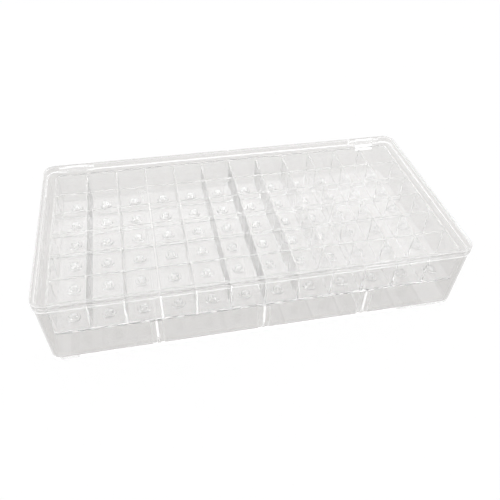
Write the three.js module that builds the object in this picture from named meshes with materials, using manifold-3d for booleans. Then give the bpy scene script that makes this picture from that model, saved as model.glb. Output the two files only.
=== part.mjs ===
// Clear polystyrene bobbin box. The base is a drafted tub whose lower deck is parted into four
// compartments by slide-in plates. A lift-out tray of pegged bobbin cells stands on those plates,
// and a shallow lid closes over the rim on two snap hinges at the back.
// Millimetres. X runs to the right, Y to the back and Z up.

import * as THREE from 'three';
import { mergeVertices } from 'three/addons/utils/BufferGeometryUtils.js';
import Module from 'manifold-3d';

const wasm = await Module();
wasm.setup();

// Overall size, measured over the closed lid
const boxWidth = 290;
const boxDepth = 150.2;
const boxHeight = 55.8;

// Clearances
const seatGap = 0.3;
const runningGap = 0.3;
const cutOverrun = 1;
const mergeTolerance = 0.002;

// Tray of bobbin cells
const cellColumns = 12;
const cellRows = 6;
const dividerFoot = 1.6;
const dividerCrest = 1.2;
const trayWall = 1.6;
const trayFloor = 1.5;
const rimRise = 1.7;
const trayCorner = 3;
const trayDraft = 0.3;

// Boss in the middle of each cell: a low peg on a collar, cored from below in two steps
const collarRadius = 4.6;
const collarHeight = 0.9;
const pegFootRadius = 2.9;
const pegTipRadius = 2.7;
const pegHeight = 2.9;
const recessRadius = 3;
const coreRadius = 1.5;
const bossWall = 1.3;

// Room left round the tray's foot and over its rim
const sideRoom = 5.1;
const frontRoom = 0.5;
const backRoom = 5.7;
const lidRoom = 3;

// Base
const deckHeight = 23.4;
const baseWall = 2.2;
const baseFloor = 2;
const rimInset = 0.7;
const footInset = 2.2;
const footRound = 1.6;
const cavityRound = 1.2;
const lipHeight = 1.6;
const cornerRadius = 8;
const tightestCorner = 0.8;

// Ribs that hold the partition plates
const ribWidth = 2.8;
const ribDepth = 2.4;
const ribLead = 1;

// Partition plates of the lower deck
const plateThickness = 1.6;
const plateSlack = 0.3;
const compartments = 4;

// Lid
const lidPlate = 1.6;
const lidSkirt = 1.5;
const skirtHeight = 6.3;
const lidEdgeRound = 0.6;

// Hinges
const hingeFromSide = 11;
const armLength = 5;
const knuckleLength = 15.4;
const knuckleRadius = 2.4;
const pinRadius = 1.1;
const pinLength = 3.6;
const hingeSetback = 1.6;
const gussetDrop = 6.5;

// Fineness of the rounded forms
const cornerSteps = 6;
const edgeSteps = 3;
const pegSides = 8;
const hingeSteps = 20;

// Heights, stacked from the ground up and from the lid down
const deckTop = baseFloor + deckHeight;
const trayUnderside = deckTop + seatGap;
const cellFloor = trayUnderside + trayFloor;
const plateUnderside = boxHeight - lidPlate;
const trayTop = plateUnderside - lidRoom;
const dividerTop = trayTop - rimRise;
const skirtFoot = boxHeight - skirtHeight;
const shoulder = skirtFoot - seatGap;

// Insets of the drafted walls of the base, from the lid's outer face
const lipInset = lidSkirt + seatGap;
const draft = (footInset - rimInset) / shoulder;

function outerInset(z) {
  return footInset - draft * z;
}

function cavityInset(z) {
  return outerInset(z) + baseWall;
}

// Plan of the box: the tray fills it up to the walls of the base and the room left there
const halfWidth = boxWidth / 2;
const halfDepth = boxDepth / 2;
const wallAtTray = cavityInset(trayUnderside) - trayDraft;
const trayWidth = boxWidth - 2 * (wallAtTray + sideRoom);
const trayDepth = boxDepth - 2 * wallAtTray - frontRoom - backRoom;
const trayForward = (backRoom - frontRoom) / 2;
const pocketWidth = trayWidth - 2 * trayWall;
const pocketDepth = trayDepth - 2 * trayWall;
const columnPitch = (pocketWidth + dividerFoot) / cellColumns;
const rowPitch = (pocketDepth + dividerFoot) / cellRows;

// Middles of the partition plates, which part the width evenly
const platePitch = boxWidth / compartments;
const plateCentres = between(compartments, platePitch);

// Places of the lines between a number of equal parts, and of the middles of those parts
function between(count, pitch) {
  return Array.from({ length: count - 1 }, (_, index) => (index + 1 - count / 2) * pitch);
}

function middles(count, pitch) {
  return Array.from({ length: count }, (_, index) => (index + (1 - count) / 2) * pitch);
}

// Hinge axis at the back
const axisY = halfDepth + hingeSetback;
const axisZ = (skirtFoot + shoulder) / 2;
const boreRadius = pinRadius + runningGap;

// Solids

function toSolid(geometry) {
  const bare = geometry.clone();
  bare.deleteAttribute('normal');
  bare.deleteAttribute('uv');
  const merged = mergeVertices(bare);
  const vertProperties = new Float32Array(merged.attributes.position.array);
  const triVerts = new Uint32Array(merged.index.array);
  return new wasm.Manifold(new wasm.Mesh({ numProp: 3, vertProperties, triVerts }));
}

// Flat faces made by several joins are merged into one on the way
function toGeometry(solid) {
  const mesh = solid.asOriginal().simplify(mergeTolerance).getMesh();
  const geometry = new THREE.BufferGeometry();
  geometry.setAttribute('position', new THREE.BufferAttribute(mesh.vertProperties, 3));
  geometry.setIndex(new THREE.BufferAttribute(mesh.triVerts, 1));
  return geometry;
}

function join(solids) {
  return solids.reduce((whole, solid) => whole.add(solid));
}

function cut(solid, tools) {
  return tools.reduce((rest, tool) => rest.subtract(tool), solid);
}

// Corner points of a rounded rectangle, anticlockwise seen from above
function roundedOutline(width, depth, radius) {
  const points = [];
  const corners = [[1, 1], [-1, 1], [-1, -1], [1, -1]];
  corners.forEach(([sideX, sideY], corner) => {
    for (let step = 0; step <= cornerSteps; step += 1) {
      const angle = (corner + step / cornerSteps) * Math.PI / 2;
      const x = sideX * (width / 2 - radius) + radius * Math.cos(angle);
      const y = sideY * (depth / 2 - radius) + radius * Math.sin(angle);
      points.push([x, y]);
    }
  });
  return points;
}

// Closed solid through a stack of rounded rectangles, lowest first
function loft(levels) {
  const positions = [];
  const faces = [];
  levels.forEach(({ z, width, depth, radius }) => {
    roundedOutline(width, depth, radius).forEach(([x, y]) => positions.push(x, y, z));
  });
  const count = positions.length / 3 / levels.length;
  for (let level = 0; level + 1 < levels.length; level += 1) {
    for (let point = 0; point < count; point += 1) {
      const here = level * count + point;
      const next = level * count + (point + 1) % count;
      faces.push(here, next, next + count, here, next + count, here + count);
    }
  }
  const last = (levels.length - 1) * count;
  const bottom = positions.length / 3;
  positions.push(0, 0, levels[0].z, 0, 0, levels[levels.length - 1].z);
  for (let point = 0; point < count; point += 1) {
    const next = (point + 1) % count;
    faces.push(bottom, next, point, bottom + 1, last + point, last + next);
  }
  const geometry = new THREE.BufferGeometry();
  geometry.setAttribute('position', new THREE.Float32BufferAttribute(positions, 3));
  geometry.setIndex(faces);
  return toSolid(geometry);
}

// Level of the box at a height, drawn in by an inset from the lid's outer face
function boxLevel(z, inset) {
  const radius = Math.max(cornerRadius - inset, tightestCorner);
  return { z, width: boxWidth - 2 * inset, depth: boxDepth - 2 * inset, radius };
}

// Profile in Y and Z, drawn out along X and centred on a place in X
function drawnAlongX(shape, length, centre) {
  const geometry = new THREE.ExtrudeGeometry(shape, {
    depth: length, bevelEnabled: false, curveSegments: hingeSteps,
  });
  geometry.translate(0, 0, -length / 2);
  const turn = new THREE.Matrix4().makeBasis(
    new THREE.Vector3(0, 1, 0), new THREE.Vector3(0, 0, 1), new THREE.Vector3(1, 0, 0));
  geometry.applyMatrix4(turn);
  geometry.translate(centre, 0, 0);
  return toSolid(geometry);
}

// Profile in X and Z, drawn out along Y and centred on a place in Y
function drawnAlongY(shape, length, centre) {
  const geometry = new THREE.ExtrudeGeometry(shape, { depth: length, bevelEnabled: false });
  geometry.translate(0, 0, -length / 2);
  geometry.rotateX(Math.PI / 2);
  geometry.translate(0, centre, 0);
  return toSolid(geometry);
}

function outline(points) {
  return new THREE.Shape(points.map(([u, v]) => new THREE.Vector2(u, v)));
}

function block(lowX, highX, lowY, highY, lowZ, highZ) {
  const geometry = new THREE.BoxGeometry(highX - lowX, highY - lowY, highZ - lowZ);
  geometry.translate((lowX + highX) / 2, (lowY + highY) / 2, (lowZ + highZ) / 2);
  return toSolid(geometry);
}

function rodAlongX(radius, lowX, highX, y, z) {
  const geometry = new THREE.CylinderGeometry(radius, radius, highX - lowX, hingeSteps);
  geometry.rotateZ(Math.PI / 2);
  geometry.translate((lowX + highX) / 2, y, z);
  return toSolid(geometry);
}

// Base

// Face of the front wall's inside at a height, moved inwards
function frontFace(z, inwards) {
  return -halfDepth + cavityInset(z) + inwards;
}

// Levels of a rounded lower edge, where inset gives the wall at each height
function roundedFoot(lowest, round, inset) {
  const levels = [];
  for (let step = 0; step <= edgeSteps; step += 1) {
    const angle = step / edgeSteps * Math.PI / 2;
    const z = lowest + round * (1 - Math.cos(angle));
    levels.push(boxLevel(z, inset(z) + round * (1 - Math.sin(angle))));
  }
  return levels;
}

function baseTub() {
  const lipTop = shoulder + lipHeight;
  const shell = loft([
    ...roundedFoot(0, footRound, outerInset),
    boxLevel(shoulder, outerInset(shoulder)),
    boxLevel(shoulder, lipInset),
    boxLevel(lipTop, lipInset),
  ]);
  const mouth = lipTop + cutOverrun;
  const cavity = loft([
    ...roundedFoot(baseFloor, cavityRound, cavityInset),
    boxLevel(mouth, cavityInset(mouth)),
  ]);
  return cut(shell, [cavity]);
}

// One guide rib, rooted in the front wall and the floor, with a lead-in at its top
function guideRib(centre) {
  const root = baseFloor / 2;
  const lead = deckTop - ribLead;
  return drawnAlongX(outline([
    [frontFace(root, -baseWall / 2), root],
    [frontFace(root, ribDepth), root],
    [frontFace(lead, ribDepth), lead],
    [frontFace(deckTop, ribDepth - ribLead), deckTop],
    [frontFace(deckTop, -baseWall / 2), deckTop],
  ]), ribWidth, centre);
}

function mirrored(solid, axis) {
  const sign = new THREE.Vector3(1, 1, 1);
  sign[axis] = -1;
  return solid.scale([sign.x, sign.y, sign.z]);
}

function guideRibs() {
  const offset = plateThickness / 2 + plateSlack + ribWidth / 2;
  const front = plateCentres.flatMap((x) => [guideRib(x - offset), guideRib(x + offset)]);
  return [...front, ...front.map((rib) => mirrored(rib, 'y'))];
}

// Places in X of one hinge: two arms of the lid with the base's knuckle between them
const hingeLow = -halfWidth + hingeFromSide;
const knuckleLow = hingeLow + armLength + runningGap;
const knuckleHigh = knuckleLow + knuckleLength;
const hingeHigh = knuckleHigh + runningGap + armLength;
const armSpans = [[hingeLow, hingeLow + armLength], [knuckleHigh + runningGap, hingeHigh]];

// Turning angle at which a line from a point touches a circle about the origin
function tangentAngle(y, z, radius, side) {
  return Math.atan2(z, y) + side * Math.acos(radius / Math.hypot(y, z));
}

// Knuckle of the base: a barrel on a gusset that runs down into the back wall
function baseKnuckle() {
  const wallY = -hingeSetback - rimInset - baseWall / 2;
  const wallZ = -gussetDrop;
  const start = tangentAngle(wallY, wallZ, knuckleRadius, 1);
  const profile = new THREE.Shape();
  profile.moveTo(wallY, shoulder - axisZ);
  profile.lineTo(wallY, wallZ);
  profile.absarc(0, 0, knuckleRadius, start, Math.PI, false);
  const barrel = drawnAlongX(profile, knuckleLength, (knuckleLow + knuckleHigh) / 2);
  return barrel.translate([0, axisY, axisZ]);
}

function makeBase() {
  const reliefs = armSpans.map(([low, high]) => rodAlongX(
    knuckleRadius + runningGap, low - runningGap, high + runningGap, axisY, axisZ));
  const bore = rodAlongX(boreRadius, knuckleLow - cutOverrun, knuckleHigh + cutOverrun, axisY, axisZ);
  const knuckle = baseKnuckle();
  const tub = join([baseTub(), ...guideRibs(), knuckle, mirrored(knuckle, 'x')]);
  const tools = [...reliefs, bore];
  return cut(tub, [...tools, ...tools.map((tool) => mirrored(tool, 'x'))]);
}

// Partition plate of the lower deck, its ends drafted like the walls it stands between
function makePartition() {
  const foot = baseFloor + seatGap;
  const heel = foot + cavityRound;
  const front = [
    [frontFace(heel, seatGap), heel],
    [frontFace(foot, seatGap + cavityRound), foot],
  ];
  const crest = [frontFace(deckTop, seatGap), deckTop];
  const right = front.map(([y, z]) => [-y, z]).reverse();
  return drawnAlongX(outline([...front, ...right, [-crest[0], crest[1]], crest]), plateThickness, 0);
}

// Tray

function trayLevel(z, wall) {
  const drawnIn = trayDraft * (trayTop - z) / (trayTop - trayUnderside);
  const grown = 2 * (wall - drawnIn);
  const radius = Math.max(trayCorner - trayWall + wall, tightestCorner);
  return { z, width: pocketWidth + grown, depth: pocketDepth + grown, radius };
}

// Upright profile of a divider, thinner at its crest
function dividerProfile(centre) {
  const root = cellFloor - trayFloor / 2;
  return outline([
    [centre - dividerFoot / 2, root],
    [centre + dividerFoot / 2, root],
    [centre + dividerCrest / 2, dividerTop],
    [centre - dividerCrest / 2, dividerTop],
  ]);
}

function boss() {
  const root = cellFloor - trayFloor / 2;
  const collarTop = cellFloor + collarHeight;
  const tip = cellFloor + pegHeight;
  const profile = [
    [0, root], [collarRadius, root], [collarRadius, collarTop],
    [pegFootRadius, collarTop], [pegTipRadius, tip], [0, tip],
  ];
  return revolved(profile);
}

// Hollow of a boss: a recess under the collar and a narrower core up into the peg
function bossCore() {
  const low = trayUnderside - cutOverrun;
  const step = cellFloor + collarHeight - bossWall;
  const high = cellFloor + pegHeight - bossWall;
  const profile = [
    [0, low], [recessRadius, low], [recessRadius, step],
    [coreRadius, step], [coreRadius, high], [0, high],
  ];
  return revolved(profile);
}

function revolved(profile) {
  const points = profile.map(([radius, z]) => new THREE.Vector2(radius, z));
  const geometry = new THREE.LatheGeometry(points, pegSides);
  geometry.rotateX(Math.PI / 2);
  return toSolid(geometry);
}

function makeTray() {
  const mouth = trayTop + cutOverrun;
  const outside = loft([trayLevel(trayUnderside, trayWall), trayLevel(trayTop, trayWall)]);
  const pocket = loft([trayLevel(cellFloor, 0), trayLevel(mouth, 0)]);
  const columnLength = pocketDepth + trayWall;
  const rowLength = pocketWidth + trayWall;
  const dividers = [
    ...between(cellColumns, columnPitch).map((x) => drawnAlongY(dividerProfile(x), columnLength, 0)),
    ...between(cellRows, rowPitch).map((y) => drawnAlongX(dividerProfile(y), rowLength, 0)),
  ];
  const columns = middles(cellColumns, columnPitch);
  const places = middles(cellRows, rowPitch).flatMap((y) => columns.map((x) => [x, y, 0]));
  const oneBoss = boss();
  const oneCore = bossCore();
  const bosses = places.map((place) => oneBoss.translate(place));
  const cores = places.map((place) => oneCore.translate(place));
  const shell = cut(outside, [pocket]);
  return cut(join([shell, ...dividers, ...bosses]), cores);
}

// Lid

// Arm of the lid: drops from the back edge round the hinge axis and carries a pin
function lidArm(low, high) {
  const root = lidSkirt / 2;
  const backFace = -hingeSetback;
  const top = plateUnderside + lidPlate / 2 - axisZ;
  const end = tangentAngle(backFace, top, knuckleRadius, -1);
  const profile = new THREE.Shape();
  profile.moveTo(backFace - root, top);
  profile.absarc(0, 0, knuckleRadius, Math.PI, 2 * Math.PI + end, false);
  profile.lineTo(backFace, top);
  return drawnAlongX(profile, high - low, (low + high) / 2).translate([0, axisY, axisZ]);
}

function makeLid() {
  const edge = [];
  for (let step = 0; step <= edgeSteps; step += 1) {
    const angle = step / edgeSteps * Math.PI / 2;
    const z = boxHeight - lidEdgeRound * (1 - Math.sin(angle));
    edge.push(boxLevel(z, lidEdgeRound * (1 - Math.cos(angle))));
  }
  const outside = loft([boxLevel(skirtFoot, 0), ...edge]);
  const hollow = loft([boxLevel(skirtFoot - cutOverrun, lidSkirt), boxLevel(plateUnderside, lidSkirt)]);
  const notch = block(
    knuckleLow - runningGap, knuckleHigh + runningGap,
    halfDepth - lidSkirt - cutOverrun, halfDepth + cutOverrun,
    skirtFoot - cutOverrun, plateUnderside);
  const [leftArm, rightArm] = armSpans.map(([low, high]) => lidArm(low, high));
  const pinRoot = armLength / 2;
  const leftInside = armSpans[0][1];
  const rightInside = armSpans[1][0];
  const leftPin = rodAlongX(pinRadius, leftInside - pinRoot, leftInside + pinLength, axisY, axisZ);
  const rightPin = rodAlongX(pinRadius, rightInside - pinLength, rightInside + pinRoot, axisY, axisZ);
  const cover = cut(outside, [hollow, notch, mirrored(notch, 'x')]);
  const moving = [leftArm, rightArm, leftPin, rightPin];
  return join([cover, ...moving, ...moving.map((solid) => mirrored(solid, 'x'))]);
}

// Assembly

function clearPlastic(colour, roughness) {
  return new THREE.MeshStandardMaterial({
    color: colour, roughness, metalness: 0, transparent: true, opacity: 0.35,
  });
}

const boxLook = ['#e9ebea', 0.06];
const trayLook = ['#e3e5e4', 0.1];

function piece(name, solid, look) {
  const mesh = new THREE.Mesh(toGeometry(solid), clearPlastic(...look));
  mesh.name = name;
  return mesh;
}

const box = new THREE.Group();
box.position.y = -(hingeSetback + knuckleRadius) / 2;
box.add(piece('base_box', makeBase(), boxLook));

const plateNames = ['partition_left', 'partition_middle', 'partition_right'];
plateNames.forEach((name, index) => {
  const plate = piece(name, makePartition(), boxLook);
  plate.position.x = plateCentres[index];
  box.add(plate);
});

const tray = piece('bobbin_tray', makeTray(), trayLook);
tray.position.y = -trayForward;
box.add(tray);

box.add(piece('lid', makeLid(), boxLook));

export default box;
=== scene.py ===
# %% [markdown]
# # A clear bobbin box
#
# This lesson dresses a sewing box of clear polystyrene: a drafted tub with ribs, three plates that slide
# between them, a lift-out tray of pegged cells and a hinged lid. The CAD model is loaded first. It fixes
# every size and every place, and Blender adds what a moulding shows: rounded edges, polish and haze.

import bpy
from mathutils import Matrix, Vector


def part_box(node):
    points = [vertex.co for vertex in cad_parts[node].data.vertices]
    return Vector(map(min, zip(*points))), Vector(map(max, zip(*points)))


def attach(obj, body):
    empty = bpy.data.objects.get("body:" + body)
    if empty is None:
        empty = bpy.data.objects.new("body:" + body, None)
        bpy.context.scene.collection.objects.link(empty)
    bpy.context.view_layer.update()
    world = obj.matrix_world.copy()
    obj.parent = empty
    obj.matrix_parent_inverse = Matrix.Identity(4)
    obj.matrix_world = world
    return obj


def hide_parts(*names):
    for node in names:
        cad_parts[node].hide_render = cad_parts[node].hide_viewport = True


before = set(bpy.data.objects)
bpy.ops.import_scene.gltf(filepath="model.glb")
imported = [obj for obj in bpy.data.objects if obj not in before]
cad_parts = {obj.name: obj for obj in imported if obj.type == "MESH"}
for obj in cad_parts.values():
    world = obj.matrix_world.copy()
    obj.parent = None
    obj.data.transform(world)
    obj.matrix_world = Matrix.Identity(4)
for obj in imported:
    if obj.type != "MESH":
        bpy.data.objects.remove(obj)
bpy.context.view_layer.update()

# %% Tools used in every cell
import math

import bmesh
import bpy
from mathutils import Matrix, Vector

# %% [markdown]
# ## Sizes
#
# The box is drawn in millimetres, as its mould would be, and Blender works in metres. The middle of the lid
# is 2 mm in front of the origin, because the hinge knuckles stand out at the back.

# %% Sizes of the real box, in millimetres
MM = 0.001
WIDTH, DEPTH, HEIGHT = 290, 150.2, 55.8
MIDDLE_Y = -2
CORNER = 8
SKIRT_FOOT = 49.5
SHOULDER = 49.2
DRAFT = 1.5 / SHOULDER
DECK_TOP = 25.4
EDGE = 0.15

# %% [markdown]
# ## Camera
#
# The photograph looks down on the box from the front, a little from the left. The place, the turn and the
# angle of view were worked out from the box's corners and grid lines. The turn is written as three arrows:
# the picture's right and top, and the way that the camera looks.

# %% Camera at the photograph's angle
LENS, SENSOR = 39.11, 36
CAMERA_PLACE = Vector((-66.59, -309.68, 298.52))
camera_data = bpy.data.cameras.new("camera")
camera_data.sensor_width = SENSOR
camera_data.lens = LENS
camera_data.clip_start = 0.01
camera = bpy.data.objects.new("camera", camera_data)
bpy.context.scene.collection.objects.link(camera)
to_right = Vector((0.97834, -0.20561, 0.02418))
to_top = Vector((0.12122, 0.66361, 0.73819))
forward = Vector((0.16782, 0.71927, -0.67416))
turn = Matrix((to_right, to_top, -forward)).transposed().to_4x4()
camera.matrix_world = Matrix.Translation(CAMERA_PLACE * MM) @ turn
bpy.context.scene.camera = camera
print("camera looks down by", round(math.degrees(math.asin(-forward.z)), 1), "degrees")

# %% [markdown]
# ## Modelling by hand, in code
#
# An operator acts on whatever is selected, so each step selects first. `select_only` does that for a whole
# piece, and `enter` and `leave` go in and out of edit mode.

# %% Select one piece and edit it
def deselect_objects():
    bpy.ops.object.select_all(action="DESELECT")


def select_only(piece):
    """Makes one piece the only one selected, and the active one."""
    deselect_objects()
    piece.select_set(True)
    bpy.context.view_layer.objects.active = piece


def enter(piece):
    """Goes into edit mode on one piece."""
    select_only(piece)
    bpy.ops.object.mode_set(mode="EDIT")


def leave():
    bpy.ops.object.mode_set(mode="OBJECT")


def apply_modifier(piece, modifier):
    """Makes what a modifier shows the piece's own mesh."""
    select_only(piece)
    bpy.ops.object.modifier_apply(modifier=modifier.name)


# %% [markdown]
# In edit mode, `pick_faces` and `pick_edges` do for a script what the mouse does in the window: they select
# the faces or the edges that pass a test on their middle and their direction. Three tests come back again
# and again: a face that looks up or down, an edge that stands upright, and an edge that lies level.

# %% Pick faces or edges by their place
UP, DOWN = 1, -1


def pick_faces(test):
    """Selects the faces whose middle, in millimetres, and normal pass the test."""
    bpy.ops.mesh.select_mode(type="FACE")
    bpy.ops.mesh.select_all(action="DESELECT")
    drawn = bmesh.from_edit_mesh(bpy.context.object.data)
    for face in drawn.faces:
        if test(face.calc_center_bounds() / MM, face.normal):
            face.select = True
    drawn.select_flush_mode()
    bmesh.update_edit_mesh(bpy.context.object.data)


def pick_edges(test):
    """Selects the edges whose middle, in millimetres, and direction pass the test."""
    bpy.ops.mesh.select_mode(type="EDGE")
    bpy.ops.mesh.select_all(action="DESELECT")
    drawn = bmesh.from_edit_mesh(bpy.context.object.data)
    for edge in drawn.edges:
        a, b = (corner.co for corner in edge.verts)
        if test((a + b) / 2 / MM, (b - a).normalized()):
            edge.select = True
    drawn.select_flush_mode()
    bmesh.update_edit_mesh(bpy.context.object.data)


def near(a, b):
    """Whether two lengths agree within 0.05 mm."""
    return abs(a - b) < 0.05


def looking(way):
    return lambda place, normal: normal.z * way > 0.9


def upright(place, direction):
    return abs(direction.z) > 0.99


def level_at(*heights):
    return lambda place, direction: abs(direction.z) < 0.1 and any(near(place.z, one) for one in heights)


# %% [markdown]
# Five steps make nearly everything on this box: extrude, move, resize, inset and round over. Each is one
# operator, given its lengths in millimetres.

# %% The steps of edit mode
def extrude(x=0, y=0, z=0):
    bpy.ops.mesh.extrude_region_move(TRANSFORM_OT_translate={"value": (x * MM, y * MM, z * MM)})


def shift(x=0, y=0, z=0):
    bpy.ops.transform.translate(value=(x * MM, y * MM, z * MM))


def resize(x, y, middle=(0, MIDDLE_Y)):
    centre = (middle[0] * MM, middle[1] * MM, 0)
    bpy.ops.transform.resize(value=(x, y, 1), center_override=centre)


def inset(width, depth=0, each=False):
    bpy.ops.mesh.inset(thickness=width * MM, depth=depth * MM, use_individual=each, use_even_offset=True)


def round_over(radius, steps):
    bpy.ops.mesh.bevel(offset=radius * MM, offset_type="OFFSET", segments=steps, affect="EDGES")


# %% [markdown]
# A block is a cube primitive stretched between two corners, and a rod is a cylinder primitive laid along X,
# the way the hinge turns. Both are only starts, which edit mode turns into pieces.

# %% Blocks and rods
def add_block(name, low, high):
    deselect_objects()
    middle = [(a + b) / 2 * MM for a, b in zip(low, high)]
    bpy.ops.mesh.primitive_cube_add(size=1, location=middle)
    block = bpy.context.object
    block.name = name
    block.scale = [(b - a) * MM for a, b in zip(low, high)]
    bpy.ops.object.transform_apply(location=True, rotation=True, scale=True)
    return block


def add_rod(name, radius, low_x, high_x, y, z, sides=40):
    deselect_objects()
    middle = ((low_x + high_x) / 2 * MM, y * MM, z * MM)
    bpy.ops.mesh.primitive_cylinder_add(
        vertices=sides, radius=radius * MM, depth=(high_x - low_x) * MM,
        location=middle, rotation=(0, math.pi / 2, 0))
    rod = bpy.context.object
    rod.name = name
    bpy.ops.object.transform_apply(location=True, rotation=True, scale=True)
    return rod


# %% [markdown]
# What is one moulding on the real box has to be one closed skin here, because light bends at every skin that
# it meets. The Boolean modifier joins and cuts, and `modifier_apply` makes the result the piece's own mesh.
# Corners that end up within 2 micrometres of each other are welded, so that no face is left without width.
#
# Parts that only touch, face on face, make a Boolean stumble. So a part is drawn to reach a little way into
# what it joins, and one with a sloped outline is wrapped: the Convex Hull operator puts the tightest skin
# round two simple shapes, as when a film is shrunk round them.

# %% Copy, mirror and gather pieces
def copy_of(piece, x=0):
    """A copy with its own mesh, moved along the box."""
    select_only(piece)
    bpy.ops.object.duplicate()
    twin = bpy.context.object
    twin.location = (x * MM, 0, 0)
    bpy.ops.object.transform_apply(location=True, rotation=True, scale=True)
    return twin


def mirrored(piece, across, middle=0):
    """A copy on the other side of a plane across X or Y."""
    twin = copy_of(piece)
    enter(twin)
    bpy.ops.mesh.select_all(action="SELECT")
    flip = [1, 1, 1]
    flip["XY".index(across)] = -1
    centre = (middle * MM, 0, 0) if across == "X" else (0, middle * MM, 0)
    bpy.ops.transform.resize(value=flip, center_override=centre)
    bpy.ops.mesh.normals_make_consistent(inside=False)
    leave()
    return twin


def gather(parts):
    """Several pieces become the shells of one mesh."""
    deselect_objects()
    for part in parts:
        part.select_set(True)
    bpy.context.view_layer.objects.active = parts[0]
    bpy.ops.object.join()
    return bpy.context.object


# %% Join, cut and wrap pieces
WELD = 0.002
SAME_FACE = math.radians(1)


def combine(piece, tool, operation):
    """Joins a tool to the piece, or cuts the piece by it, and removes the tool."""
    step = piece.modifiers.new("combine", "BOOLEAN")
    step.operation = operation
    step.object = tool
    step.solver = "EXACT"
    step.use_self = operation == "UNION"
    apply_modifier(piece, step)
    bpy.data.objects.remove(tool)
    enter(piece)
    bpy.ops.mesh.select_all(action="SELECT")
    bpy.ops.mesh.remove_doubles(threshold=WELD * MM)
    bpy.ops.mesh.dissolve_degenerate(threshold=WELD * MM)
    leave()
    print(piece.name, operation.lower(), "leaves", len(piece.data.polygons), "faces")


def wrapped(parts):
    """The convex piece that a tight wrapping round several parts would give."""
    piece = gather(parts)
    enter(piece)
    bpy.ops.mesh.select_all(action="SELECT")
    bpy.ops.mesh.convex_hull()
    bpy.ops.mesh.select_all(action="SELECT")
    bpy.ops.mesh.dissolve_limited(angle_limit=SAME_FACE)
    leave()
    return piece


# %% [markdown]
# ## The lower tub
#
# The tub is drawn from one block. Its upright corners are rounded first, then the foot is drawn in, as a
# mould needs taper to let the part go. The top face is inset and raised for the stepped rim, inset again, and
# pushed down to make the hollow. Last come the rounded edges of the floor, the foot and the rim, before any
# Boolean cuts them into short pieces.

# %% Shape the tub
RIM_INSET, FOOT_INSET, LIP_INSET, WALL = 0.7, 2.2, 1.8, 2.2
LIP_TOP = 50.8
FLOOR = 2
FOOT_ROUND, FLOOR_ROUND = 1.6, 1.2


def cavity_inset(z):
    """How far the inner wall stands in from the lid's outer face at a height."""
    return FOOT_INSET - DRAFT * z + WALL


def ratio(inset_now, inset_before):
    """Resizing in X and Y that moves all four walls in by the same length."""
    return [(size - 2 * inset_now) / (size - 2 * inset_before) for size in (WIDTH, DEPTH)]


half_x, half_y = WIDTH / 2 - RIM_INSET, DEPTH / 2 - RIM_INSET
tub = add_block("box_tub", (-half_x, MIDDLE_Y - half_y, 0), (half_x, MIDDLE_Y + half_y, SHOULDER))
enter(tub)
pick_edges(upright)
round_over(CORNER - RIM_INSET, 10)
pick_faces(looking(DOWN))
resize(*ratio(FOOT_INSET, RIM_INSET))
pick_faces(looking(UP))
inset(LIP_INSET - RIM_INSET)
extrude(z=LIP_TOP - SHOULDER)
inset(cavity_inset(LIP_TOP) - LIP_INSET)
extrude(z=FLOOR - LIP_TOP)
resize(*ratio(cavity_inset(FLOOR), cavity_inset(LIP_TOP)))
pick_edges(level_at(FLOOR))
round_over(FLOOR_ROUND, 4)
pick_edges(level_at(0))
round_over(FOOT_ROUND, 5)
pick_edges(level_at(SHOULDER, LIP_TOP))
round_over(EDGE, 3)
leave()
print("tub", len(tub.data.polygons), "faces")

# %% [markdown]
# ### Guide ribs
#
# Pairs of ribs on the front and the back wall hold the plates upright. One rib is shaped, with the wall's
# draft and a sloped top that leads a plate in. It is copied to the other places, and all twelve are joined to
# the tub at once, reaching halfway into its wall.

# %% Shape one rib and copy it
RIB_WIDTH, RIB_DEPTH, RIB_LEAD, RIB_ROUND = 2.8, 2.4, 1.0, 0.35
PLATE, PLATE_SLACK, PLATE_PITCH = 1.6, 0.3, 72.5
RIB_ROOT = 1.0


def front_wall(z):
    """The inner face of the front wall at a height."""
    return MIDDLE_Y - DEPTH / 2 + cavity_inset(z)


rib = add_block(
    "rib", (-RIB_WIDTH / 2, front_wall(DECK_TOP) - WALL / 2, RIB_ROOT),
    (RIB_WIDTH / 2, front_wall(DECK_TOP) + RIB_DEPTH, DECK_TOP))
enter(rib)
pick_faces(looking(DOWN))
shift(y=front_wall(RIB_ROOT) - front_wall(DECK_TOP))
pick_edges(lambda place, direction: near(place.z, DECK_TOP) and place.y > front_wall(DECK_TOP) + 2)
round_over(RIB_LEAD, 1)
pick_edges(lambda place, direction: (
    place.y > front_wall(DECK_TOP) + 1 and abs(direction.x) < 0.5 and abs(place.x) > 1))
round_over(RIB_ROUND, 3)
leave()

rib_step = PLATE / 2 + PLATE_SLACK + RIB_WIDTH / 2
PLATE_PLACES = {"plate_left": -PLATE_PITCH, "plate_middle": 0, "plate_right": PLATE_PITCH}
rib_places = [plate_x + side * rib_step for plate_x in PLATE_PLACES.values() for side in (-1, 1)]
front_ribs = [copy_of(rib, x=x) for x in rib_places]
back_ribs = [mirrored(one, "Y", MIDDLE_Y) for one in front_ribs]
bpy.data.objects.remove(rib)
combine(tub, gather(front_ribs + back_ribs), "UNION")

# %% [markdown]
# ### Hinge knuckles
#
# Each hinge is a snap hinge: the lid's pins sit in the ends of a barrel on the back wall. The barrel stands
# on a gusset, whose underside slopes back to the wall, so that it needs no support in the mould. Barrel and
# gusset are one wrapped piece, from a rod to a thin block inside the wall. The wall is first cleared round
# the lid's arms, and the barrel is bored last. What stands on one side of the box is mirrored to the other.

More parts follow.
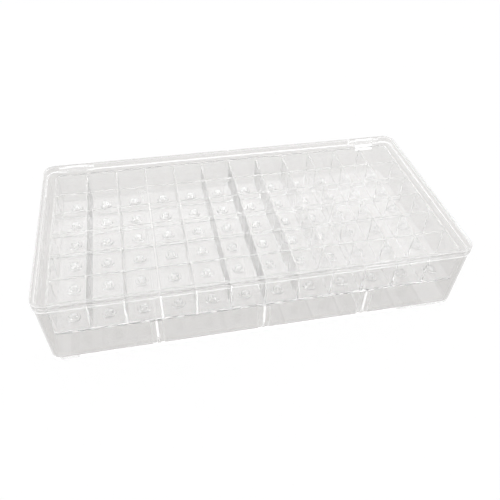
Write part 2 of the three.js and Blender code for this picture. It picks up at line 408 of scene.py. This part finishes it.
# %% Sizes of the hinges
AXIS_Y, AXIS_Z, KNUCKLE = 74.7, 49.35, 2.4
RUNNING = 0.3
PIN, PIN_LENGTH = 1.1, 3.6
HINGE_LOW, ARM, BARREL = -134, 5, 15.4
BARREL_LOW = HINGE_LOW + ARM + RUNNING
BARREL_HIGH = BARREL_LOW + BARREL
ARMS = [(HINGE_LOW, HINGE_LOW + ARM), (BARREL_HIGH + RUNNING, BARREL_HIGH + RUNNING + ARM)]
GUSSET_Y, GUSSET_Z, ROOT = -3.4, -6.5, 0.1
print("left barrel from", BARREL_LOW, "to", round(BARREL_HIGH, 1), "mm")

# %% Clear the wall for the lid's arms, add the knuckles and bore them
for low, high in ARMS:
    relief = add_rod("relief", KNUCKLE + RUNNING, low - RUNNING, high + RUNNING, AXIS_Y, AXIS_Z)
    combine(tub, gather([relief, mirrored(relief, "X")]), "DIFFERENCE")

root = add_block(
    "root", (BARREL_LOW, AXIS_Y + GUSSET_Y, AXIS_Z + GUSSET_Z),
    (BARREL_HIGH, AXIS_Y + GUSSET_Y + ROOT, AXIS_Z + GUSSET_Z + ROOT))
knuckle = wrapped([add_rod("barrel", KNUCKLE, BARREL_LOW, BARREL_HIGH, AXIS_Y, AXIS_Z), root])
combine(tub, gather([knuckle, mirrored(knuckle, "X")]), "UNION")

bore = add_rod("bore", PIN + RUNNING, BARREL_LOW - 1, BARREL_HIGH + 1, AXIS_Y, AXIS_Z)
combine(tub, gather([bore, mirrored(bore, "X")]), "DIFFERENCE")

# %% [markdown]
# ## Partition plates
#
# A plate is a small flat moulding with the outline of the tub's section: both ends follow the draft, and the
# lower corners are cut off to clear the rounded floor. One is shaped, and three copies go to their places.

# %% Shape the plates
SEAT, PLATE_CHAMFER = 0.3, 1.2
plate_foot = FLOOR + SEAT
half_top = DEPTH / 2 - cavity_inset(DECK_TOP) - SEAT
half_foot = DEPTH / 2 - cavity_inset(plate_foot) - SEAT
plate = add_block(
    "plate", (-PLATE / 2, MIDDLE_Y - half_top, plate_foot), (PLATE / 2, MIDDLE_Y + half_top, DECK_TOP))
enter(plate)
pick_faces(looking(DOWN))
resize(1, half_foot / half_top)
pick_edges(lambda place, direction: near(place.z, plate_foot) and abs(direction.x) > 0.9)
round_over(PLATE_CHAMFER, 1)
bpy.ops.mesh.select_all(action="SELECT")
round_over(EDGE, 3)
leave()
plates = {name: copy_of(plate, x=x) for name, x in PLATE_PLACES.items()}
bpy.data.objects.remove(plate)
for name, one in plates.items():
    one.name = name
print("plates", list(plates))

# %% [markdown]
# ## The tray
#
# A real tray is moulded round a steel core with one tapered block for each cell. The lesson does the same. A
# grid primitive has one face for each cell. Insetting every face by half a divider's crest leaves the gaps
# in which the dividers form, and a second inset pushes the blocks down to the cells' floors, a little
# narrower there. The outermost strips are cut off, and the border is drawn up, so that the core also clears
# the rim.

# %% Shape the core that forms the cells
COLUMNS, ROWS, PITCH = 12, 6, 22.63
CREST, DIVIDER_FOOT = 1.2, 1.6
CELL_FLOOR, CREST_TOP, RIM_TOP, TRAY_FOOT = 27.2, 49.5, 51.2, 25.7
TRAY_WALL, TRAY_CORNER, TRAY_DRAFT = 1.6, 3, 0.3
TRAY_Y = MIDDLE_Y - 2.6
CORE_RISE = 2
inner_x = (COLUMNS * PITCH - CREST) / 2
inner_y = (ROWS * PITCH - CREST) / 2

deselect_objects()
bpy.ops.mesh.primitive_grid_add(
    x_subdivisions=COLUMNS, y_subdivisions=ROWS, size=1, location=(0, TRAY_Y * MM, CREST_TOP * MM))
core_plate = bpy.context.object
core_plate.name = "core_plate"
core_plate.scale = (COLUMNS * PITCH * MM, ROWS * PITCH * MM, 1)
bpy.ops.object.transform_apply(location=True, rotation=True, scale=True)
print("grid", len(core_plate.data.polygons), "faces")

enter(core_plate)
bpy.ops.mesh.select_all(action="SELECT")
inset(CREST / 2, each=True)
inset((DIVIDER_FOOT - CREST) / 2, CELL_FLOOR - CREST_TOP, each=True)
for side in (-1, 1):
    cuts = (((side * inner_x, 0, 0), (side, 0, 0)), ((0, TRAY_Y + side * inner_y, 0), (0, side, 0)))
    for place, normal in cuts:
        bpy.ops.mesh.select_all(action="SELECT")
        bpy.ops.mesh.bisect(
            plane_co=[v * MM for v in place], plane_no=normal, clear_outer=True, threshold=1e-6)
bpy.ops.mesh.select_mode(type="EDGE")
bpy.ops.mesh.select_all(action="DESELECT")
bpy.ops.mesh.select_non_manifold()
extrude(z=RIM_TOP + CORE_RISE - CREST_TOP)
bpy.ops.mesh.edge_face_add()
bpy.ops.mesh.select_all(action="SELECT")
bpy.ops.mesh.normals_make_consistent(inside=False)
leave()
print("core", len(core_plate.data.polygons), "faces")

# %% [markdown]
# The tray's outside is a block with rounded corners whose foot is drawn in. The core cuts it hollow.

# %% Shape the tray round the core
outer_x = (COLUMNS * PITCH - DIVIDER_FOOT) / 2 + TRAY_WALL
outer_y = (ROWS * PITCH - DIVIDER_FOOT) / 2 + TRAY_WALL
tray = add_block(
    "cell_tray", (-outer_x, TRAY_Y - outer_y, TRAY_FOOT), (outer_x, TRAY_Y + outer_y, RIM_TOP))
enter(tray)
pick_edges(upright)
round_over(TRAY_CORNER, 8)
pick_faces(looking(DOWN))
resize((outer_x - TRAY_DRAFT) / outer_x, (outer_y - TRAY_DRAFT) / outer_y, (0, TRAY_Y))
leave()
combine(tray, core_plate, "DIFFERENCE")

# %% [markdown]
# ### Pegs
#
# A peg starts as a short cylinder, the collar. Its top face is inset, raised and drawn in, and the edges are
# rounded as the mould's are. Two Array modifiers set one in each cell. The pegs are cored from below in two
# steps, so that the plastic is as thick there as elsewhere and doesn't sink.

# %% Sizes of a peg, and how it is repeated
COLLAR, COLLAR_HEIGHT, COLLAR_ROUND = 4.6, 0.9, 0.4
PEG_FOOT, PEG_TIP, PEG_HEIGHT, PEG_ROUND = 2.9, 2.7, 2.9, 0.5
RECESS, CORE, CORE_ROUND, PEG_WALL = 3, 1.5, 0.4, 1.3
SUNK = 0.7
first_x = (1 - COLUMNS) / 2 * PITCH
first_y = TRAY_Y + (1 - ROWS) / 2 * PITCH


def add_post(name, radius, low, high, sides):
    """A short cylinder in the first cell."""
    deselect_objects()
    bpy.ops.mesh.primitive_cylinder_add(
        vertices=sides, radius=radius * MM, depth=(high - low) * MM,
        location=(first_x * MM, first_y * MM, (low + high) / 2 * MM))
    post = bpy.context.object
    post.name = name
    bpy.ops.object.transform_apply(location=True, rotation=True, scale=True)
    return post


def in_every_cell(piece):
    for count, offset in ((COLUMNS, (PITCH * MM, 0, 0)), (ROWS, (0, PITCH * MM, 0))):
        array = piece.modifiers.new("cells", "ARRAY")
        array.count = count
        array.use_relative_offset = False
        array.use_constant_offset = True
        array.constant_offset_displace = offset
        apply_modifier(piece, array)
    return piece


# %% Shape the first peg and its core, and set one in each cell
def on_collar_rim(place, direction):
    from_middle = math.hypot(place.x - first_x, place.y - first_y)
    return level_at(CELL_FLOOR + COLLAR_HEIGHT)(place, direction) and near(from_middle, COLLAR)


peg_middle = (first_x, first_y)
peg = add_post("peg", COLLAR, CELL_FLOOR - SUNK, CELL_FLOOR + COLLAR_HEIGHT, 32)
enter(peg)
pick_faces(looking(UP))
inset(COLLAR - PEG_FOOT)
extrude(z=PEG_HEIGHT - COLLAR_HEIGHT)
resize(PEG_TIP / PEG_FOOT, PEG_TIP / PEG_FOOT, peg_middle)
pick_edges(level_at(CELL_FLOOR + PEG_HEIGHT))
round_over(PEG_ROUND, 4)
pick_edges(on_collar_rim)
round_over(COLLAR_ROUND, 3)
leave()

core = add_post("core", RECESS, TRAY_FOOT - 1, CELL_FLOOR + COLLAR_HEIGHT - PEG_WALL, 24)
enter(core)
pick_faces(looking(UP))
inset(RECESS - CORE)
extrude(z=PEG_HEIGHT - COLLAR_HEIGHT)
pick_edges(level_at(CELL_FLOOR + PEG_HEIGHT - PEG_WALL))
round_over(CORE_ROUND, 3)
leave()

combine(tray, in_every_cell(peg), "UNION")
combine(tray, in_every_cell(core), "DIFFERENCE")

# %% [markdown]
# ## The lid
#
# The lid is a shallow tray turned over: a block with rounded corners whose underside is inset for the skirt
# and pushed up to leave the plate. The skirt is cut away for the knuckles.

# %% Shape the lid
SKIRT, LID_PLATE, LID_ROUND, INNER_ROUND = 1.5, 1.6, 0.6, 0.4
NOTCH_INWARD, NOTCH_TOP = 0.6, 0.5
PLATE_UNDERSIDE = HEIGHT - LID_PLATE
lid_back = MIDDLE_Y + DEPTH / 2

lid = add_block(
    "lid_cover", (-WIDTH / 2, MIDDLE_Y - DEPTH / 2, SKIRT_FOOT), (WIDTH / 2, lid_back, HEIGHT))
enter(lid)
pick_edges(upright)
round_over(CORNER, 12)
pick_faces(looking(DOWN))
inset(SKIRT)
extrude(z=PLATE_UNDERSIDE - SKIRT_FOOT)
pick_edges(level_at(HEIGHT))
round_over(LID_ROUND, 4)
pick_edges(level_at(PLATE_UNDERSIDE))
round_over(INNER_ROUND, 3)
pick_edges(level_at(SKIRT_FOOT))
round_over(EDGE, 3)
leave()

notch = add_block(
    "notch", (BARREL_LOW - 2 * RUNNING, lid_back - SKIRT - NOTCH_INWARD, SKIRT_FOOT - 1),
    (BARREL_HIGH + 2 * RUNNING, lid_back + 1, PLATE_UNDERSIDE - NOTCH_TOP))
combine(lid, gather([notch, mirrored(notch, "X")]), "DIFFERENCE")

# %% [markdown]
# ### Hinge arms and pins
#
# Two arms reach down from the lid beside each cut, and a pin on each points into the barrel. An arm is
# wrapped from its round eye to a block that ends inside the lid's plate, so that no face lies on another.

# %% Add the hinge arms and their pins
ARM_BACK, ARM_TOP, HEAD, PIN_ROOT = -1.9, 55.4, 1, 2
hinge_parts = []
for low, high in ARMS:
    eye = add_rod("eye", KNUCKLE, low, high, AXIS_Y, AXIS_Z)
    head = add_block("head", (low, AXIS_Y - KNUCKLE, ARM_TOP - HEAD), (high, AXIS_Y + ARM_BACK, ARM_TOP))
    hinge_parts.append(wrapped([eye, head]))
(_, left_end), (right_end, _) = ARMS
PINS = [(left_end - PIN_ROOT, left_end + PIN_LENGTH), (right_end - PIN_LENGTH, right_end + PIN_ROOT)]
for low, high in PINS:
    hinge_parts.append(add_rod("pin", PIN, low, high, AXIS_Y, AXIS_Z, 24))
hinge_parts += [mirrored(part, "X") for part in hinge_parts]
combine(lid, gather(hinge_parts), "UNION")

# %% [markdown]
# ## Finish the edges
#
# No edge of a moulding is sharp. The tray has thousands of them, so a Bevel modifier rounds all that are
# sharper than an angle. Shading by angle keeps flat walls flat and rounded ones smooth, and the Weighted
# Normal modifier lets the large faces rule the small ones beside them. Without it, clear plastic ripples.

# %% Round the tray's edges and set the shading
SHARP, TRAY_SMOOTH, BOX_SMOOTH = math.radians(40), math.radians(50), math.radians(35)


def soften(piece, width):
    """Rounds every sharp edge of a piece."""
    bevel = piece.modifiers.new("edges", "BEVEL")
    bevel.width = width * MM
    bevel.segments = 2
    bevel.limit_method = "ANGLE"
    bevel.angle_limit = SHARP
    bevel.miter_outer = "MITER_ARC"
    apply_modifier(piece, bevel)


def smooth(piece, angle):
    """Smooth shading in which the large flat faces keep their own direction."""
    select_only(piece)
    bpy.ops.object.shade_smooth_by_angle(angle=angle)
    flat_faces = piece.modifiers.new("flat faces", "WEIGHTED_NORMAL")
    flat_faces.keep_sharp = True
    flat_faces.weight = 100
    apply_modifier(piece, flat_faces)


def report(piece):
    """Prints how many edges of a piece aren't shared by just two faces, its triangles and its volume."""
    drawn = bmesh.new()
    drawn.from_mesh(piece.data)
    loose = sum(not edge.is_manifold for edge in drawn.edges)
    triangles = sum(len(face.verts) - 2 for face in drawn.faces)
    volume = drawn.calc_volume(signed=True) / MM**3
    drawn.free()
    print(piece.name, "open edges", loose, "triangles", triangles, "volume", round(volume), "mm3")


soften(tray, EDGE)
for piece in (tub, *plates.values(), tray, lid):
    smooth(piece, TRAY_SMOOTH if piece == tray else BOX_SMOOTH)
    report(piece)

# %% [markdown]
# ## Materials
#
# Clear polystyrene is hard, glassy and brittle. It bends light more than window glass does, with an index of
# 1.59, so its edges show as bright and dark lines. A polished mould leaves it nearly mirror-smooth. What the
# eye finds is a slight unevenness where the melt flowed, and fine rubbing marks, which are drawn coarser than
# they are, because real ones are too fine to show at this size.
#
# The plastic is colourless, so its base colour is pure white. A ray passes a dozen surfaces on its way
# through this box, and even a trace of grey would be taken off at each of them. The tray, which is handled
# most, is a little hazy: 4 percent of its light is scattered and not let through.

# %% Colours and nodes
def linear(hex_colour):
    """The linear colour of an sRGB hex value."""
    shares = [int(hex_colour[i:i + 2], 16) / 255 for i in (1, 3, 5)]
    return [c / 12.92 if c <= 0.04045 else ((c + 0.055) / 1.055) ** 2.4 for c in shares] + [1]


def add_node(tree, kind, settings=None, values=None, links=None):
    """Adds a node, sets its properties and its unlinked sockets, and links the others.

    A socket goes by its name, or by its number where a node has several of one name."""
    node = tree.nodes.new(kind)
    for name, value in (settings or {}).items():
        setattr(node, name, value)
    for name, value in (values or {}).items():
        node.inputs[name].default_value = value
    for name, source in (links or {}).items():
        tree.links.new(source, node.inputs[name])
    return node


# %% Clear polystyrene
INDEX = 1.59
FLOW_MM, RUB_MM = 24, 3
RUB_STRETCH, RUB_TURN = 9, math.radians(24)
RUBBED = 0.05


def clear_polystyrene(name, roughness, waviness_mm, clarity):
    """Injection-moulded clear polystyrene: glassy, with flow unevenness and rubbing marks in its polish."""
    material = bpy.data.materials.new(name)
    material.use_nodes = True
    tree = material.node_tree
    tree.nodes.clear()
    place = add_node(tree, "ShaderNodeTexCoord").outputs["Object"]
    flow = add_node(
        tree, "ShaderNodeTexNoise", values={"Scale": 1 / (FLOW_MM * MM), "Detail": 2, "Roughness": 0.4},
        links={"Vector": place})
    stretched = add_node(
        tree, "ShaderNodeMapping", values={"Scale": (1, RUB_STRETCH, 1), "Rotation": (0, 0, RUB_TURN)},
        links={"Vector": place})
    rubbing = add_node(
        tree, "ShaderNodeTexNoise", values={"Scale": 1 / (RUB_MM * MM), "Detail": 4, "Roughness": 0.6},
        links={"Vector": stretched.outputs["Vector"]})
    polish = add_node(
        tree, "ShaderNodeMapRange",
        values={"From Min": 0.45, "From Max": 0.8, "To Min": roughness, "To Max": roughness + RUBBED},
        links={"Value": rubbing.outputs["Fac"]})
    wave = add_node(
        tree, "ShaderNodeBump", values={"Strength": 1, "Distance": waviness_mm * MM},
        links={"Height": flow.outputs["Fac"]})
    shader = add_node(
        tree, "ShaderNodeBsdfPrincipled",
        values={"Base Color": linear("#FFFFFF"), "IOR": INDEX, "Transmission Weight": clarity},
        links={"Roughness": polish.outputs["Result"], "Normal": wave.outputs["Normal"]})
    add_node(tree, "ShaderNodeOutputMaterial", links={"Surface": shader.outputs["BSDF"]})
    return material


box_polystyrene = clear_polystyrene("clear polystyrene, polished", 0.01, 0.02, 1)
tray_polystyrene = clear_polystyrene("clear polystyrene, tray", 0.03, 0.03, 0.96)
plate_polystyrene = clear_polystyrene("clear polystyrene, plates", 0.02, 0.02, 1)
print("materials", [one.name for one in (box_polystyrene, tray_polystyrene, plate_polystyrene)])

# %% [markdown]
# ## From pieces to the model
#
# Each piece now rides on the body that carries it, base or lid, and takes the place of the CAD node that it
# was drawn for.

# %% Give each piece its material, its body and its CAD node
PIECES = [
    (tub, box_polystyrene, "base", "base_box", "clear_box"),
    (tray, tray_polystyrene, "base", "bobbin_tray", "clear_tray"),
    (lid, box_polystyrene, "lid", "lid", "clear_lid"),
    (plates["plate_left"], plate_polystyrene, "base", "partition_left", "clear_partition"),
    (plates["plate_middle"], plate_polystyrene, "base", "partition_middle", "clear_partition"),
    (plates["plate_right"], plate_polystyrene, "base", "partition_right", "clear_partition"),
]
for piece, material, body, node, finish in PIECES:
    piece.data.materials.clear()
    piece.data.materials.append(material)
    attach(piece, body)
    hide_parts(node)
    low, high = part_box(node)
    print(node, "is replaced by", piece.name, "in", [round(v * 1000, 1) for v in (*low, *high)])

# %% [markdown]
# ## The table
#
# The box stands on a plain white table. Light Path tells what kind of ray asks for the table's look. To the
# camera, and in reflections, it is the picture's white ground with the box's faint shadow. Light that the box
# gets from below comes from plain white paint. Seen through the plastic the table is painted grey, as in the
# photograph: this grey is painted shade, standing for the box's own shadow on the table beneath it, so the
# clear box stands out against it. The table lies half a millimetre under the box's foot, because a renderer
# can't tell apart two faces at one place.

# %% Table
TABLE, TABLE_DROP = 6, 0.5
SHADOW_SHARE = 0.08
MIX_A, MIX_B, MIX_RESULT = 6, 7, 2  # the Mix node's sockets for colours, among others of the same names

deselect_objects()
bpy.ops.mesh.primitive_plane_add(size=TABLE, location=(0, 0, -TABLE_DROP * MM))
floor = bpy.context.object
floor.name = "floor"
floor_material = bpy.data.materials.new("matt white table")
floor_material.use_nodes = True
tree = floor_material.node_tree
tree.nodes.clear()
path = add_node(tree, "ShaderNodeLightPath").outputs
through = path["Is Transmission Ray"]
seen = add_node(
    tree, "ShaderNodeMath", {"operation": "MAXIMUM"},
    links={0: path["Is Camera Ray"], 1: path["Is Glossy Ray"]})
seen_at_all = add_node(
    tree, "ShaderNodeMath", {"operation": "MAXIMUM"}, links={0: seen.outputs[0], 1: through})
share = add_node(
    tree, "ShaderNodeMath", {"operation": "MULTIPLY"}, {1: 1 - SHADOW_SHARE}, {0: seen_at_all.outputs[0]})
# For rays through the plastic the table turns grey, #CBC9C7: painted shade for the box's shadow under it.
white_or_painted_shade = add_node(
    tree, "ShaderNodeMix", {"data_type": "RGBA"}, {MIX_A: linear("#FFFFFF"), MIX_B: linear("#CBC9C7")},
    {"Factor": through})
paint = add_node(tree, "ShaderNodeBsdfDiffuse", values={"Color": linear("#F4F4F4")})
glow = add_node(tree, "ShaderNodeEmission", values={"Strength": 1}, links={"Color": white_or_painted_shade.outputs[MIX_RESULT]})
table_top = add_node(
    tree, "ShaderNodeMixShader", links={"Fac": share.outputs[0], 1: paint.outputs[0], 2: glow.outputs[0]})
add_node(tree, "ShaderNodeOutputMaterial", links={"Surface": table_top.outputs[0]})
floor.data.materials.append(floor_material)
print("table", TABLE, "m wide, its shadow shows at", SHADOW_SHARE)

# %% [markdown]
# ## The studio and its lamp
#
# Clear things show by what they mirror and bend. The studio is nearly even white all round, and brighter high
# up behind on the right, where the lid's top mirrors it as a pale veil. The camera itself sees plain white.
# One wide lamp above on the left gives the soft shadow.

# %% World
STUDIO_LEVEL, BRIGHT_LEVEL = 0.95, 1.5
BRIGHT_SIDE = Vector((0.40, 0.65, 0.65)).normalized()

world = bpy.data.worlds.new("studio")
bpy.context.scene.world = world
world.use_nodes = True
tree = world.node_tree
tree.nodes.clear()
direction = add_node(tree, "ShaderNodeTexCoord").outputs["Generated"]
towards = add_node(
    tree, "ShaderNodeVectorMath", {"operation": "DOT_PRODUCT"}, {1: BRIGHT_SIDE}, {0: direction})
level = add_node(
    tree, "ShaderNodeMapRange", {"interpolation_type": "SMOOTHSTEP"},
    {"From Min": 0.5, "From Max": 1, "To Min": STUDIO_LEVEL, "To Max": BRIGHT_LEVEL},
    {"Value": towards.outputs["Value"]})
walls = add_node(
    tree, "ShaderNodeBackground", values={"Color": linear("#FFFFFF")},
    links={"Strength": level.outputs["Result"]})
white = add_node(tree, "ShaderNodeBackground", values={"Color": linear("#FFFFFF"), "Strength": 1})
camera_ray = add_node(tree, "ShaderNodeLightPath").outputs["Is Camera Ray"]
around = add_node(
    tree, "ShaderNodeMixShader", links={"Fac": camera_ray, 1: walls.outputs[0], 2: white.outputs[0]})
add_node(tree, "ShaderNodeOutputWorld", links={"Surface": around.outputs[0]})
print("studio from", STUDIO_LEVEL, "to", BRIGHT_LEVEL)

# %% Lamp
LAMP_SIZE, LAMP_WATTS, LAMP_PLACE = (1.6, 1.2), 6, Vector((-1.3, -0.5, 1.5))

lamp_data = bpy.data.lights.new("soft box", "AREA")
lamp_data.shape = "RECTANGLE"
lamp_data.size, lamp_data.size_y = LAMP_SIZE
lamp_data.energy = LAMP_WATTS
lamp = bpy.data.objects.new("soft box", lamp_data)
bpy.context.scene.collection.objects.link(lamp)
lamp.location = LAMP_PLACE
lamp.rotation_mode = "QUATERNION"
lamp.rotation_quaternion = LAMP_PLACE.to_track_quat("Z", "Y")
print("lamp", round(LAMP_PLACE.length, 2), "m from the box")

# %% [markdown]
# ## View settings
#
# The Standard transform shows each colour as it is written. A ray can be passed on hundreds of times inside
# clear walls before it gets out, and one that is cut short comes back black, so many bounces are allowed.
# Cycles would also blur what is seen after a rough surface, to save noise. In clear plastic that takes light
# away at each surface, so Filter Glossy is off.

# %% View settings
CLEAR_BOUNCES, SCATTER_BOUNCES = 400, 64
bpy.context.scene.view_settings.view_transform = "Standard"
cycles = bpy.context.scene.cycles
cycles.max_bounces = cycles.transmission_bounces = cycles.glossy_bounces = CLEAR_BOUNCES
cycles.diffuse_bounces = SCATTER_BOUNCES
cycles.blur_glossy = 0
deselect_objects()
